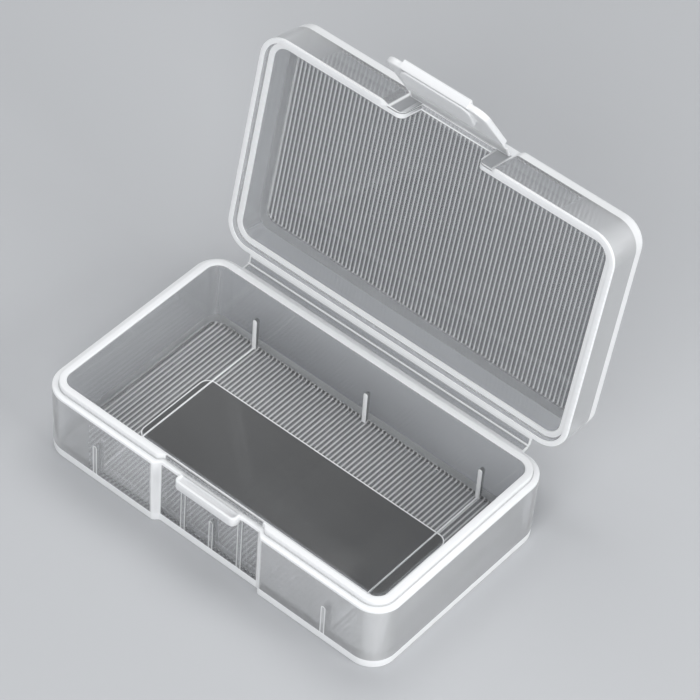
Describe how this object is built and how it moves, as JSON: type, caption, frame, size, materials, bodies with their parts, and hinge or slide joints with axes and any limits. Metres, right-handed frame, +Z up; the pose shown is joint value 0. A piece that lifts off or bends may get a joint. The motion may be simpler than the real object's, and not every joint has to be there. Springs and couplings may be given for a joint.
{
  "type": "hinged battery storage case",
  "caption": "Open-topped plastic tray with a film-hinged lid and a flap latch that hooks under a ledge; holds two cylindrical cells.",
  "frame": {"origin": "middle of the tray's flat underside, on the surface that the case stands on", "axes": "+X along the case's length, +Y from the latch side to the hinge side, +Z up out of the tray"},
  "size_m": [0.077, 0.0656, 0.0745],
  "materials": {
    "tray_plastic": "natural translucent polypropylene, satin gloss",
    "ledge_plastic": "natural translucent polypropylene, satin gloss",
    "lid_plastic": "natural translucent polypropylene, satin gloss",
    "latch_plastic": "natural translucent polypropylene, satin gloss",
    "hinge_film": "thin clear polypropylene film"
  },
  "bodies": {
    "tray": {"base_tray": "tray_plastic", "catch_ledge": "ledge_plastic", "base_hinge_leaf": "hinge_film"},
    "lid": {"lid_shell": "lid_plastic", "lid_hinge_leaf": "hinge_film", "latch_mount_leaf": "hinge_film"},
    "latch": {"latch_flap": "latch_plastic", "latch_hinge_leaf": "hinge_film"}
  },
  "joints": [
    {"name": "lid_hinge", "type": "hinge", "parent": "tray", "child": "lid", "pos_m": [0, 0.02435, 0.0151], "axis": [-1, 0, 0], "range_deg": [-100.6, 79.4]},
    {"name": "latch_hinge", "type": "hinge", "parent": "lid", "child": "latch", "pos_m": [0, 0.03843, 0.0615], "axis": [-1, 0, 0], "range_deg": [-47, 63]}
  ]
}
